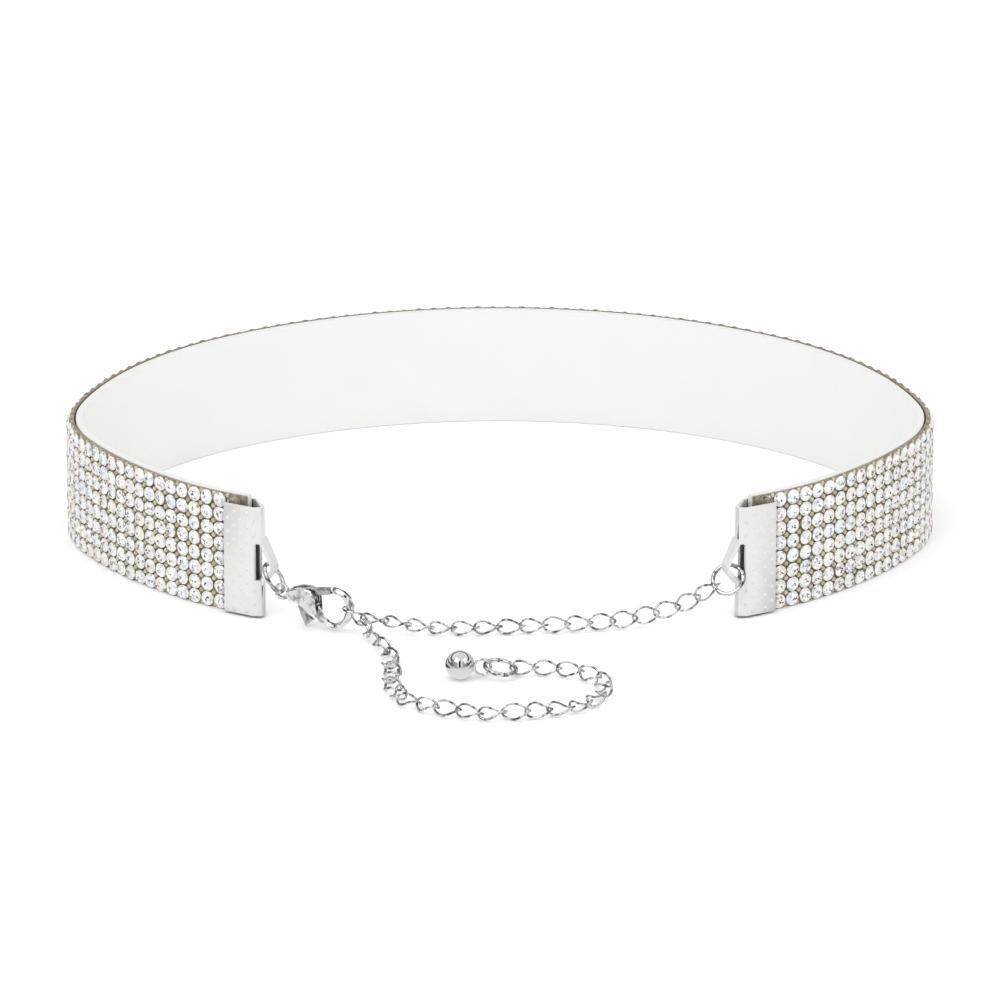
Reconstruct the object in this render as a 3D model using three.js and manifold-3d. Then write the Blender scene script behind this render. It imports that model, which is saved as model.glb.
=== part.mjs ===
// Rhinestone choker necklace that stands on its lower edge, closed through its extender chain.
// Millimetres, +Z up, +X to the right and +Y to the back. The closure is at the front, towards -Y.
import * as THREE from "three";
import { mergeVertices } from "three/addons/utils/BufferGeometryUtils.js";
import Module from "manifold-3d";

const wasm = await Module();
wasm.setup();

// Clearance between pieces that touch on the real necklace
const SEAT_GAP = 0.25;

// Band: rows of round stones in a mesh, with a smooth backing on the inside
const STONE_PITCH = 2.1;
const STONE_ROWS = 8;
const BAND_HEIGHT = STONE_ROWS * STONE_PITCH;
const BAND_LENGTH = 249.4;
const BAND_BACK = 50.9;
const STRIP_THICKNESS = 1.1;
const STRIP_VALLEY = 0.8;
const STRIP_FLANK = 0.28 * STONE_PITCH;
const BACKING_THICKNESS = 1.0;
const BAND_STEPS = 72;

// Bends of half the band, from the middle of the back to its cut end:
// share of the half length, and the angle that it turns through in degrees
const BAND_BENDS = [
  { share: 0.337, turn: 36 },
  { share: 0.279, turn: 40 },
  { share: 0.123, turn: 41.5 },
  { share: 0.169, turn: 20.5 },
  { share: 0.067, turn: 13 },
  { share: 0.025, turn: 0 },
];

// End caps: sheet folded round the band's end, with a strap pushed out of the fold as a loop. The
// fold and the strap lie outward of the band's middle, so the inner cheek has the longer taper
const CAP_HEIGHT = 15.6;
const CAP_LIFT = 0.3;
const CAP_CHEEK = 4.5;
const CAP_TAPER = 1.1;
const CAP_INNER_TAPER = 2.5;
const CAP_GRIP = 2.7;
const CAP_SHEET = 0.4;
const CAP_FOLD = 1.0;
const CAP_FOLD_OUT = 0.82;
const SLOT_LOW = 5.4;
const SLOT_HIGH = 10.7;
const STRAP_WIDTH = 1.6;
const STRAP_OUT = 0.5;
const STRAP_REACH = 1.75;
const STRAP_APEX = 7.4;
const STRAP_ROOT = 0.7;

// Jump rings
const RING_OUTER = 4.8;
const RING_WIRE = 0.6;
const RING_SEGMENTS = 14;
const WIRE_SIDES = 6;
const RING_CENTRE_RADIUS = (RING_OUTER - RING_WIRE) / 2;

// How each cap's ring hangs in its strap. Its wire passes behind the strap's tip by the inset, at
// the given offset outward and rise, skewed from straight through and climbing by a share. Then
// comes the hanging direction in the cap's own frame
const LEFT_HANG = {
  inset: 1.27,
  offset: 0.36,
  rise: 0.34,
  skew: -10,
  climb: 0.09,
  hang: { along: 0.57, outward: -0.02, up: -0.82 },
};
const RIGHT_HANG = {
  inset: 1.63,
  offset: -0.4,
  rise: -0.06,
  skew: 37,
  climb: -0.13,
  hang: { along: 0.56, outward: 0.29, up: -0.77 },
};

// Lobster clasp, in its own plane: x from the base ring to the nose, y up. Lengths are shares of
// the clasp's length
const CLASP_LENGTH = 12.4;
const CLASP_HEADING = -28;
const CLASP_PITCH = 3;
const CLASP_THICKNESS = 2.2;
const HOOK_THICKNESS = 1.05;
const HOOK_ROUNDING = 0.3;
const LEVER_THICKNESS = 0.8;
const FORK_GAP = 0.2;
const BASE_RING_OUTER = 2.5;
const BASE_RING_WIRE = 0.6;
const PIVOT_X = 0.252;
const PIVOT_Y = 0.022;
const PIN_RADIUS = 0.35;
const PIN_CLEARANCE = 0.1;
const PIN_SEGMENTS = 12;
const BOSS_RADIUS = 0.058;
const SEAM_GAP = 0.3;
const LEVER_SWING = 25;
const SWING_STEP = 5;

// Hook's middle line from the fork round the bottom to the seam, with its width
const HOOK_STATIONS = [
  { x: 0.33, y: 0.0, width: 0.15 },
  { x: 0.374, y: -0.08, width: 0.14 },
  { x: 0.41, y: -0.165, width: 0.11 },
  { x: 0.475, y: -0.25, width: 0.08 },
  { x: 0.56, y: -0.315, width: 0.065 },
  { x: 0.645, y: -0.33, width: 0.062 },
  { x: 0.73, y: -0.3, width: 0.068 },
  { x: 0.8, y: -0.23, width: 0.076 },
  { x: 0.842, y: -0.14, width: 0.082 },
  { x: 0.848, y: -0.06, width: 0.084 },
  { x: 0.82, y: 0.012, width: 0.08 },
  { x: 0.765, y: 0.06, width: 0.074 },
  { x: 0.7, y: 0.082, width: 0.072 },
  { x: 0.668, y: 0.085, width: 0.074 },
];
const HOOK_NOSE = HOOK_STATIONS[8];

// Neck from the base ring into the fork
const NECK = { ringWidth: 0.05, forkWidth: 0.1, reach: 0.02, drop: 0.01 };

// Outline of the fork's cheeks, which hold the lever between them
const FORK_OUTLINE = [
  { x: 0.115, y: -0.075 },
  { x: 0.2, y: -0.085 },
  { x: 0.29, y: -0.13 },
  { x: 0.37, y: -0.21 },
  { x: 0.455, y: -0.19 },
  { x: 0.45, y: 0.0 },
  { x: 0.4, y: 0.065 },
  { x: 0.34, y: 0.09 },
  { x: 0.22, y: 0.085 },
  { x: 0.115, y: 0.05 },
];

// Lever's gate arm from the pivot to the seam, and its thumb tail from the pivot to the flared end
const GATE_STATIONS = [
  { x: PIVOT_X, y: PIVOT_Y, width: 0.1 },
  { x: 0.35, y: 0.04, width: 0.1 },
  { x: 0.44, y: 0.055, width: 0.088 },
  { x: 0.53, y: 0.068, width: 0.078 },
  { x: 0.602, y: 0.078, width: 0.074 },
];
const TAIL_STATIONS = [
  { x: PIVOT_X, y: PIVOT_Y, width: 0.1 },
  { x: 0.228, y: -0.05, width: 0.075 },
  { x: 0.23, y: -0.13, width: 0.062 },
  { x: 0.265, y: -0.23, width: 0.066 },
  { x: 0.295, y: -0.27, width: 0.095 },
  { x: 0.325, y: -0.31, width: 0.12 },
];

// Extender chain: oval links, each twisted along its length
const LINK_LENGTH = 4.1;
const LINK_WIDTH = 2.5;
const LINK_WIRE = 0.34;
const LINK_TWIST = 54;
const LINK_PITCH = 3.12;
const LINK_SEGMENTS = 12;
const LINK_SIDES = 5;
const LINK_CENTRE_LENGTH = LINK_LENGTH - LINK_WIRE;
const LINK_CENTRE_WIDTH = LINK_WIDTH - LINK_WIRE;
const LINK_OVERLAP = (LINK_CENTRE_LENGTH - LINK_PITCH) / 2;
const TAIL_LINKS = 25;
const WIRE_GAP = 0.22;

// How three links are threaded: the place of the inner tip in its host's own frame, as shares of
// the host's size, the way that the link leads from there, and its roll about its length. The
// hosts are the right cap's ring and, for the other two, the hooked link
const RING_THREAD = { tip: [-0.45, 0.44, 0], lead: [-0.86, -0.12, -0.5], roll: -30 };
const FRONT_THREAD = { tip: [0.215, 0.08, -0.035], lead: [0.99, 0.06, -0.16], roll: 9 };
const TAIL_THREAD = { tip: [0.338, -0.104, -0.104], lead: [0.17, -0.96, -0.21], roll: -55 };

// Chosen points of the chain's route, with the links' roll there in degrees. The front stretch
// runs from the right cap's ring to the hooked link: along and aside are shares of that span. The
// tail runs from there to its free end: x and y are counted in link pitches. The lift is how far
// a link is raised from where it lies on the surface at that roll, as a share of a link's width.
// The sway is how far the links' junctions lie to either side in turn, as a share of their pitch
const FRONT_ROUTE = [
  { along: 0.056, aside: 0.0167, lift: 0.54, roll: -44 },
  { along: 0.12, aside: 0.0251, lift: 0.3, roll: -54 },
  { along: 0.199, aside: 0.041, lift: 0.1, roll: -58 },
  { along: 0.277, aside: 0.0499, lift: 0.02, roll: -54 },
  { along: 0.422, aside: 0.0499, lift: 0, roll: -38 },
  { along: 0.575, aside: 0.0439, lift: 0, roll: -28 },
  { along: 0.725, aside: 0.0335, lift: 0, roll: -18 },
  { along: 0.844, aside: 0.0202, lift: 0.03, roll: -12 },
  { along: 0.931, aside: 0.0085, lift: 0.26, roll: -6 },
];
const TAIL_ROUTE = [
  { x: 0.42, y: -0.78, lift: 0.1, roll: -38, sway: 0 },
  { x: 0.9, y: -1.74, lift: 0.03, roll: -8, sway: 0.09 },
  { x: 1, y: -2.99, lift: 0, roll: 16, sway: 0.18 },
  { x: 1.1, y: -4.43, lift: 0, roll: 24, sway: 0.19 },
  { x: 1.1, y: -5.71, lift: 0, roll: 24, sway: 0.19 },
  { x: 1.32, y: -6.97, lift: 0, roll: 20, sway: 0.15 },
  { x: 2.09, y: -7.96, lift: 0, roll: 12, sway: 0.08 },
  { x: 3.31, y: -8.77, lift: 0, roll: 40, sway: 0.06 },
  { x: 5.07, y: -9.25, lift: 0, roll: 14, sway: 0.06 },
  { x: 6.87, y: -9.12, lift: 0, roll: 44, sway: 0.06 },
  { x: 8.34, y: -8.67, lift: 0, roll: 16, sway: 0.06 },
  { x: 9.56, y: -7.8, lift: 0, roll: 4, sway: 0 },
  { x: 10.23, y: -6.61, lift: 0, roll: -18, sway: 0 },
  { x: 10.07, y: -5.33, lift: 0, roll: -30, sway: 0 },
  { x: 9.17, y: -4.37, lift: 0, roll: -34, sway: 0 },
  { x: 7.83, y: -3.99, lift: 0, roll: -32, sway: 0 },
  { x: 6.55, y: -3.96, lift: 0, roll: -30, sway: 0 },
  { x: 5.07, y: -4.09, lift: 0, roll: -30, sway: 0 },
];
const ROLL_SWING = 3;
const STOP_BLEND = 0.1;
const ROUTE_SAMPLES = 60;
const SHORTEST_PITCH = 0.9;
const REST_GAP = 0.11;

// Hooked link's lie: how far it dips from level and turns from the clasp's own heading
const HOOKED_DIP = 34;
const HOOKED_CLEARANCE = 0.42;
const HOOKED_TURN = 12;

// Ball drop at the free end
const BALL_DIAMETER = 3.9;
const BALL_SEGMENTS = 16;
const EYE_OUTER = 2.7;
const EYE_WIRE = 0.45;
const EYE_SINK = 0.25;
const EYE_SEGMENTS = 12;
const END_RING_HEADING = 195;
const END_RING_RISE = 0.12;
const END_RING_LEAN = -8;
const DROP_HEADING = 182;

const SILVER = { color: 0xd9d9dc, roughness: 0.2, metalness: 1 };
const CAP_FINISH = { color: 0xd2d2d2, roughness: 0.35, metalness: 1 };
const STONE_FINISH = { color: 0xc9c4b4, roughness: 0.25, metalness: 0.2 };
const BACKING_FINISH = { color: 0xf0f0ec, roughness: 0.9, metalness: 0 };

const UP = new THREE.Vector3(0, 0, 1);
const radians = THREE.MathUtils.degToRad;

// A closed geometry as a solid that can be joined and cut
function solidFrom(geometry) {
  const bare = geometry.clone();
  bare.deleteAttribute("normal");
  bare.deleteAttribute("uv");
  const merged = mergeVertices(bare, 1e-4);
  return new wasm.Manifold(
    new wasm.Mesh({
      numProp: 3,
      vertProperties: new Float32Array(merged.attributes.position.array),
      triVerts: new Uint32Array(merged.index.array),
    }),
  );
}

// The solid's surface as a geometry with flat faces
function geometryFrom(solid) {
  const mesh = solid.getMesh();
  const indexed = new THREE.BufferGeometry();
  indexed.setAttribute("position", new THREE.BufferAttribute(mesh.vertProperties, 3));
  indexed.setIndex(new THREE.BufferAttribute(mesh.triVerts, 1));
  const flat = indexed.toNonIndexed();
  flat.computeVertexNormals();
  return flat;
}

function joined(geometries) {
  return geometries.map(solidFrom).reduce((whole, piece) => whole.add(piece));
}

function namedMesh(name, geometry, finish) {
  const mesh = new THREE.Mesh(geometry, new THREE.MeshStandardMaterial(finish));
  mesh.name = name;
  return mesh;
}

// Turns an object so that its own x and y lie along the given directions
function orient(object, xAxis, yAxis) {
  const basis = new THREE.Matrix4().makeBasis(
    xAxis,
    yAxis,
    new THREE.Vector3().crossVectors(xAxis, yAxis),
  );
  object.quaternion.setFromRotationMatrix(basis);
}

// Place and heading on the right half of the band's middle line, the face between the stones and
// the backing. Heading 0 runs along +X and turns towards -Y
function halfBandPoint(distance) {
  let x = 0;
  let y = BAND_BACK;
  let heading = 0;
  let left = distance;
  for (const { share, turn } of BAND_BENDS) {
    const whole = (share * BAND_LENGTH) / 2;
    const step = Math.min(left, whole);
    if (turn === 0) {
      x += step * Math.cos(heading);
      y -= step * Math.sin(heading);
    } else {
      const radius = whole / radians(turn);
      const next = heading + step / radius;
      x += radius * (Math.sin(next) - Math.sin(heading));
      y += radius * (Math.cos(next) - Math.cos(heading));
      heading = next;
    }
    left -= step;
  }
  return { x, y, heading };
}

// The whole middle line from the left cut end round the back to the right cut end
class BandLine extends THREE.Curve {
  getPoint(t, target = new THREE.Vector3()) {
    const along = (t - 0.5) * BAND_LENGTH;
    const { x, y } = halfBandPoint(Math.abs(along));
    return target.set(Math.sign(along) * x, y, 0);
  }
}

// A section swept round the band. Section points are height and distance outward
function bandSweep(section) {
  const outline = section.map(([height, outward]) => new THREE.Vector2(-height, outward));
  return new THREE.ExtrudeGeometry(new THREE.Shape(outline), {
    steps: BAND_STEPS,
    extrudePath: new BandLine(),
  });
}

function bandBacking() {
  const inner = -SEAT_GAP - BACKING_THICKNESS;
  const section = [
    [0, -SEAT_GAP],
    [BAND_HEIGHT, -SEAT_GAP],
    [BAND_HEIGHT, inner],
    [0, inner],
  ];
  return namedMesh("band_backing", bandSweep(section), BACKING_FINISH);
}

// Outer shape of the stone mesh: one flat-topped ridge for each row of stones
function stoneStrip() {
  const section = [[0, 0]];
  for (let row = 0; row < STONE_ROWS; row += 1) {
    const low = row * STONE_PITCH;
    section.push([low, STRIP_VALLEY]);
    section.push([low + STRIP_FLANK, STRIP_THICKNESS]);
    section.push([low + STONE_PITCH - STRIP_FLANK, STRIP_THICKNESS]);
  }
  section.push([BAND_HEIGHT, STRIP_VALLEY]);
  section.push([BAND_HEIGHT, 0]);
  return namedMesh("stone_strip", bandSweep(section), STONE_FINISH);
}

// Middle of the band's thickness, measured outward from its middle line
const GRIP_OUT = STRIP_THICKNESS + SEAT_GAP;
const GRIP_IN = -(2 * SEAT_GAP + BACKING_THICKNESS);
const GRIP_MIDDLE = (GRIP_OUT + GRIP_IN) / 2;
const CAP_END = CAP_CHEEK + CAP_TAPER;
const FOLD_MIDDLE = GRIP_MIDDLE + CAP_FOLD_OUT;
const STRAP_MIDDLE = GRIP_MIDDLE + STRAP_OUT;

// The cap in its own frame: x from the mouth to the fold, y outward times side, z up
function capGeometry(side) {
  const foldHalf = CAP_FOLD / 2;
  const hollowEnd = CAP_END - CAP_SHEET;
  const hollowHalf = foldHalf - CAP_SHEET;
  const innerCheek = CAP_END - CAP_INNER_TAPER;
  const outline = [
    [0, GRIP_OUT + CAP_SHEET],
    [CAP_CHEEK, GRIP_OUT + CAP_SHEET],
    [CAP_END, FOLD_MIDDLE + foldHalf],
    [CAP_END, FOLD_MIDDLE - foldHalf],
    [innerCheek, GRIP_IN - CAP_SHEET],
    [0, GRIP_IN - CAP_SHEET],
    [0, GRIP_IN],
    [innerCheek, GRIP_IN],
    [hollowEnd, FOLD_MIDDLE - hollowHalf],
    [hollowEnd, FOLD_MIDDLE + hollowHalf],
    [CAP_CHEEK, GRIP_OUT],
    [0, GRIP_OUT],
  ].map(([along, outward]) => new THREE.Vector2(along, side * outward));
  const fold = new THREE.ExtrudeGeometry(new THREE.Shape(outline), {
    depth: CAP_HEIGHT,
    bevelEnabled: false,
  }).translate(0, 0, CAP_LIFT);

  const slotDepth = 3 * (GRIP_OUT - GRIP_IN);
  const slotStart = CAP_CHEEK + CAP_SHEET / 2;
  const slotLength = 2 * CAP_TAPER;
  const slot = new THREE.BoxGeometry(slotLength, slotDepth, SLOT_HIGH - SLOT_LOW).translate(
    slotStart + slotLength / 2,
    0,
    (SLOT_HIGH + SLOT_LOW) / 2,
  );

  // The strap leaves the fold above the slot, runs out to its tip and back in below the slot
  const tip = CAP_END + STRAP_REACH;
  const root = CAP_END - CAP_SHEET;
  const innerTip = tip - CAP_SHEET;
  const path = [
    [CAP_END, SLOT_HIGH + STRAP_ROOT],
    [tip, STRAP_APEX + CAP_SHEET],
    [tip, STRAP_APEX - CAP_SHEET],
    [CAP_END, SLOT_LOW - STRAP_ROOT],
    [root, SLOT_LOW - STRAP_ROOT],
    [root, SLOT_LOW],
    [innerTip, STRAP_APEX - CAP_SHEET / 2],
    [innerTip, STRAP_APEX + CAP_SHEET / 2],
    [root, SLOT_HIGH],
    [root, SLOT_HIGH + STRAP_ROOT],
  ].map(([along, up]) => new THREE.Vector2(along, up));
  const strap = new THREE.ExtrudeGeometry(new THREE.Shape(path), {
    depth: STRAP_WIDTH,
    bevelEnabled: false,
  })
    .rotateX(Math.PI / 2)
    .translate(0, side * STRAP_MIDDLE + STRAP_WIDTH / 2, 0);
  return geometryFrom(solidFrom(fold).subtract(solidFrom(slot)).add(solidFrom(strap)));
}

// Frame of a cap: its mouth's place and its directions along the band and outward
function capFrame(side) {
  const mouth = halfBandPoint(BAND_LENGTH / 2 - CAP_GRIP);
  const { heading } = mouth;
  return {
    mouth: new THREE.Vector3(side * mouth.x, mouth.y, 0),
    along: new THREE.Vector3(side * Math.cos(heading), -Math.sin(heading), 0),
    outward: new THREE.Vector3(side * Math.sin(heading), Math.cos(heading), 0),
  };
}

function cap(name, side) {
  const { mouth, along } = capFrame(side);
  const holder = new THREE.Group();
  holder.position.copy(mouth);
  orient(holder, along, new THREE.Vector3().crossVectors(UP, along));
  holder.add(namedMesh(name, capGeometry(side), CAP_FINISH));
  return holder;
}

function levelDirection(degrees) {
  return new THREE.Vector3(Math.cos(radians(degrees)), Math.sin(radians(degrees)), 0);
}

function ringGeometry(centreRadius, wire, segments) {
  return new THREE.TorusGeometry(centreRadius, wire / 2, WIRE_SIDES, segments);
}

// A ring whose wire passes a point in one direction and which hangs from it in another
function hungRing(name, anchor, through, hang) {
  const ring = namedMesh(
    name,
    ringGeometry(RING_CENTRE_RADIUS, RING_WIRE, RING_SEGMENTS),
    SILVER,
  );
  orient(ring, through, hang);
  ring.position.copy(anchor).addScaledVector(hang, RING_CENTRE_RADIUS);
  return ring;
}

// Where a cap's ring passes through the strap, the way its wire runs there and the way it hangs
function ringHang(side, lie) {
  const { mouth, along, outward } = capFrame(side);
  const through = outward.clone().applyAxisAngle(UP, side * radians(lie.skew));
  through.addScaledVector(UP, lie.climb).normalize();
  const hang = new THREE.Vector3()
    .addScaledVector(along, lie.hang.along)
    .addScaledVector(outward, lie.hang.outward)
    .addScaledVector(UP, lie.hang.up);
  hang.addScaledVector(through, -hang.dot(through)).normalize();
  const anchor = mouth
    .clone()
    .addScaledVector(along, CAP_END + STRAP_REACH - lie.inset)
    .addScaledVector(outward, STRAP_MIDDLE + lie.offset)
    .addScaledVector(UP, STRAP_APEX + lie.rise);
  return { anchor, through, hang };
}

// Solid of a flat bar with rounded edges that follows stations of middle line and width
function barSolid(stations, thickness, rounding) {
  const middles = stations.map(({ x, y }) => new THREE.Vector2(x, y).multiplyScalar(CLASP_LENGTH));
  const near = [];
  const far = [];
  stations.forEach(({ width }, index) => {
    const before = middles[Math.max(index - 1, 0)];
    const after = middles[Math.min(index + 1, middles.length - 1)];
    const run = after.clone().sub(before).normalize();
    const half = (width * CLASP_LENGTH) / 2 - rounding;
    const offset = new THREE.Vector2(-run.y, run.x).multiplyScalar(half);
    near.push(middles[index].clone().add(offset));
    far.unshift(middles[index].clone().sub(offset));
  });
  const geometry = new THREE.ExtrudeGeometry(new THREE.Shape([...near, ...far]), {
    depth: thickness - 2 * rounding,
    bevelEnabled: true,
    bevelThickness: rounding,
    bevelSize: rounding,
    bevelSegments: 1,
  }).translate(0, 0, rounding - thickness / 2);
  return solidFrom(geometry);
}

function roundSolid(radius, length, x, y) {
  const geometry = new THREE.CylinderGeometry(radius, radius, length, PIN_SEGMENTS)
    .rotateX(Math.PI / 2)
    .translate(x, y, 0);
  return solidFrom(geometry);
}

const PIVOT = new THREE.Vector2(PIVOT_X, PIVOT_Y).multiplyScalar(CLASP_LENGTH);

function turnedAboutPivot(solid, degrees) {
  return solid.translate([-PIVOT.x, -PIVOT.y, 0]).rotate([0, 0, degrees]).translate([PIVOT.x, PIVOT.y, 0]);
}

function claspBody() {
  const ring = solidFrom(
    ringGeometry((BASE_RING_OUTER - BASE_RING_WIRE) / 2, BASE_RING_WIRE, EYE_SEGMENTS),
  );
  const outline = FORK_OUTLINE.map(({ x, y }) =>
    new THREE.Vector2(x, y).multiplyScalar(CLASP_LENGTH),
  );
  const bevel = HOOK_ROUNDING / 2;
  const fork = solidFrom(
    new THREE.ExtrudeGeometry(new THREE.Shape(outline), {
      depth: CLASP_THICKNESS - 2 * bevel,
      bevelEnabled: true,
      bevelThickness: bevel,
      bevelSize: bevel,
      bevelOffset: -bevel,
      bevelSegments: 1,
    }).translate(0, 0, bevel - CLASP_THICKNESS / 2),
  );
  const slotWidth = LEVER_THICKNESS + 2 * FORK_GAP;
  const slotStart = FORK_OUTLINE[0].x * CLASP_LENGTH + BASE_RING_WIRE / 2;
  const slotEnd = HOOK_STATIONS[1].x * CLASP_LENGTH;
  const slot = solidFrom(
    new THREE.BoxGeometry(slotEnd - slotStart, CLASP_LENGTH, slotWidth).translate(
      (slotStart + slotEnd) / 2,
      0,
      0,
    ),
  );
  const opening = GATE_STATIONS.map(({ x, y, width }) => ({
    x,
    y,
    width: width + (2 * SEAM_GAP) / CLASP_LENGTH,
  }));
  const gateSlot = barSolid(opening, slotWidth, 0);
  const hook = barSolid(HOOK_STATIONS, HOOK_THICKNESS, HOOK_ROUNDING);
  const neck = barSolid(
    [
      { x: (BASE_RING_OUTER - BASE_RING_WIRE) / 2 / CLASP_LENGTH, y: 0, width: NECK.ringWidth },
      { x: FORK_OUTLINE[0].x + NECK.reach, y: -NECK.drop, width: NECK.forkWidth },
    ],
    HOOK_THICKNESS,
    HOOK_ROUNDING / 2,
  );
  const pin = roundSolid(PIN_RADIUS, CLASP_THICKNESS, PIVOT.x, PIVOT.y);
  let body = fork.add(hook).subtract(slot);
  for (let angle = 0; angle <= LEVER_SWING; angle += SWING_STEP) {
    body = body.subtract(turnedAboutPivot(gateSlot, -angle));
  }
  return geometryFrom(body.add(pin).add(neck).add(ring));
}

function claspLever() {
  const rounding = HOOK_ROUNDING / 2;
  const boss = roundSolid(BOSS_RADIUS * CLASP_LENGTH, LEVER_THICKNESS, PIVOT.x, PIVOT.y);
  const gate = barSolid(GATE_STATIONS, LEVER_THICKNESS, rounding);
  const tail = barSolid(TAIL_STATIONS, LEVER_THICKNESS, rounding);
  const bore = roundSolid(PIN_RADIUS + PIN_CLEARANCE, 2 * CLASP_THICKNESS, PIVOT.x, PIVOT.y);
  return geometryFrom(boss.add(gate).add(tail).subtract(bore));
}

// Directions of the clasp: its own x, y and z in the necklace's frame
function claspAxes() {
  const heading = radians(CLASP_HEADING);
  const level = new THREE.Vector3(Math.cos(heading), Math.sin(heading), 0);
  const face = new THREE.Vector3().crossVectors(level, UP);
  const along = level.clone().applyAxisAngle(face, radians(CLASP_PITCH));
  return { along, up: UP.clone().applyAxisAngle(face, radians(CLASP_PITCH)), face };
}

function clasp(centre) {
  const { along, up } = claspAxes();
  const holder = new THREE.Group();
  holder.position.copy(centre);
  orient(holder, along, up);
  holder.add(namedMesh("clasp_body", claspBody(), SILVER));
  holder.add(namedMesh("clasp_lever", claspLever(), SILVER));
  return holder;
}

// Middle line of a link's wire, an oval twisted about its long axis
class TwistedOval extends THREE.Curve {
  getPoint(t, target = new THREE.Vector3()) {
    const angle = 2 * Math.PI * t;
    const across = (LINK_CENTRE_WIDTH / 2) * Math.sin(angle);
    const twist = -radians(LINK_TWIST) * Math.cos(angle);
    return target.set(
      (LINK_CENTRE_LENGTH / 2) * Math.cos(angle),
      across * Math.cos(twist),
      across * Math.sin(twist),
    );
  }
}

const LINK_GEOMETRY = new THREE.TubeGeometry(
  new TwistedOval(),
  LINK_SEGMENTS,
  LINK_WIRE / 2,
  LINK_SIDES,
  true,
);

// A link between two junctions, rolled about its long axis from level
function link(number, from, to, roll) {
  const name = `link_${String(number).padStart(2, "0")}`;
  const mesh = namedMesh(name, LINK_GEOMETRY, SILVER);
  const along = to.clone().sub(from).normalize();
  const level = new THREE.Vector3().crossVectors(UP, along).normalize();
  orient(mesh, along, level.applyAxisAngle(along, radians(roll)));
  mesh.position.copy(from).add(to).multiplyScalar(0.5);
  return mesh;
}

function vector([x, y, z]) {
  return new THREE.Vector3(x, y, z);
}

// Height of a link's middle when it lies on the surface at a roll
function restHeight(roll) {
  const turn = radians(roll);
  const rises = new TwistedOval()
    .getPoints(4 * LINK_SEGMENTS)
    .map(({ y, z }) => y * Math.sin(turn) + z * Math.cos(turn));
  return Math.max(...rises) + LINK_WIRE / 2 + REST_GAP;
}

function stopHeight({ lift, roll }) {
  return restHeight(roll) + lift * LINK_WIDTH;
}

// Stops of the front route, laid along the straight between two points
function frontStops(from, to) {
  const span = to.clone().sub(from).setZ(0);
  const side = new THREE.Vector3().crossVectors(UP, span);
  return FRONT_ROUTE.map((row) => {
    const at = from.clone().addScaledVector(span, row.along).addScaledVector(side, row.aside);
    return { at: at.setZ(stopHeight(row)), roll: row.roll, sway: 0 };
  });
}

// Stops of the tail's route, counted from its first link's end
function tailStops(from) {
  return TAIL_ROUTE.map((row) => {
    const at = from.clone().add(new THREE.Vector3(row.x, row.y, 0).multiplyScalar(LINK_PITCH));
    return { at: at.setZ(stopHeight(row)), roll: row.roll, sway: row.sway };
  });
}

// Value of a column at a point: that of the nearest stops, weighted by nearness
function blendAt(point, stops, column) {
  const softening = (STOP_BLEND * LINK_PITCH) ** 2;
  let weights = 0;
  let sum = 0;
  for (const stop of stops) {
    const weight = 1 / (softening + stop.at.distanceToSquared(point)) ** 2;
    weights += weight;
    sum += weight * stop[column];
  }
  return sum / weights;
}

// Junctions at equal straight steps along a smooth curve through the points, and what is left of
// the curve after the last one. Where the stops sway, they lie to either side of it in turn
function walk(points, pitch, count, stops) {
  const curve = new THREE.CatmullRomCurve3(points, false, "centripetal");
  const samples = curve.getSpacedPoints(points.length * ROUTE_SAMPLES);
  const junctions = [points[0].clone()];
  let next = 1;
  const besideSample = (side) => {
    const forward = samples[next].clone().sub(samples[next - 1]);
    const aside = new THREE.Vector3().crossVectors(UP, forward).normalize();
    const sway = side * blendAt(samples[next], stops, "sway") * LINK_PITCH;
    return aside.multiplyScalar(sway).add(samples[next]);
  };
  while (junctions.length <= count) {
    const last = junctions[junctions.length - 1];
    const side = junctions.length % 2 === 0 ? 1 : -1;
    while (next < samples.length - 1 && besideSample(side).distanceTo(last) < pitch) next += 1;
    const step = besideSample(side).sub(last);
    junctions.push(last.clone().add(step.setLength(pitch)));
  }
  const reached = junctions[count].distanceTo(samples[samples.length - 1]);
  return { junctions, left: next < samples.length - 1 ? reached : -reached };
}

// Junctions that end on the last point, at the longest even pitch that the links allow
function evenWalk(points, stops) {
  const length = new THREE.CatmullRomCurve3(points, false, "centripetal").getLength();
  const count = Math.ceil(length / LINK_PITCH);
  let shortest = (SHORTEST_PITCH * length) / count;
  let longest = LINK_PITCH;
  let pitch = (shortest + longest) / 2;
  while (pitch > shortest && pitch < longest) {
    if (walk(points, pitch, count, stops).left > 0) shortest = pitch;
    else longest = pitch;
    pitch = (shortest + longest) / 2;
  }
  return walk(points, shortest, count, stops).junctions;
}

function linksAlong(junctions, stops, firstNumber) {
  return junctions.slice(1).map((to, index) => {
    const from = junctions[index];
    const middle = from.clone().add(to).multiplyScalar(0.5);
    const swing = index % 2 === 0 ? ROLL_SWING : -ROLL_SWING;
    return link(firstNumber + index, from, to, blendAt(middle, stops, "roll") + swing);
  });
}

// Junctions at both ends of a threaded link, with its middle as a stop
function threadedRun(host, size, { tip, lead, roll }) {
  const direction = vector(lead).normalize();
  const inner = vector(tip).multiplyScalar(size).applyMatrix4(host);
  const near = inner.addScaledVector(direction, LINK_OVERLAP);
  const far = near.clone().addScaledVector(direction, LINK_PITCH);
  return { near, far, stop: { at: near.clone().add(far).multiplyScalar(0.5), roll, sway: 0 } };
}

// Both caps' rings, and the clasp on the left ring
const leftHang = ringHang(-1, LEFT_HANG);
const rightHang = ringHang(1, RIGHT_HANG);
const claspCentre = leftHang.anchor
  .clone()
  .addScaledVector(leftHang.hang, 2 * RING_CENTRE_RADIUS);

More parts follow.
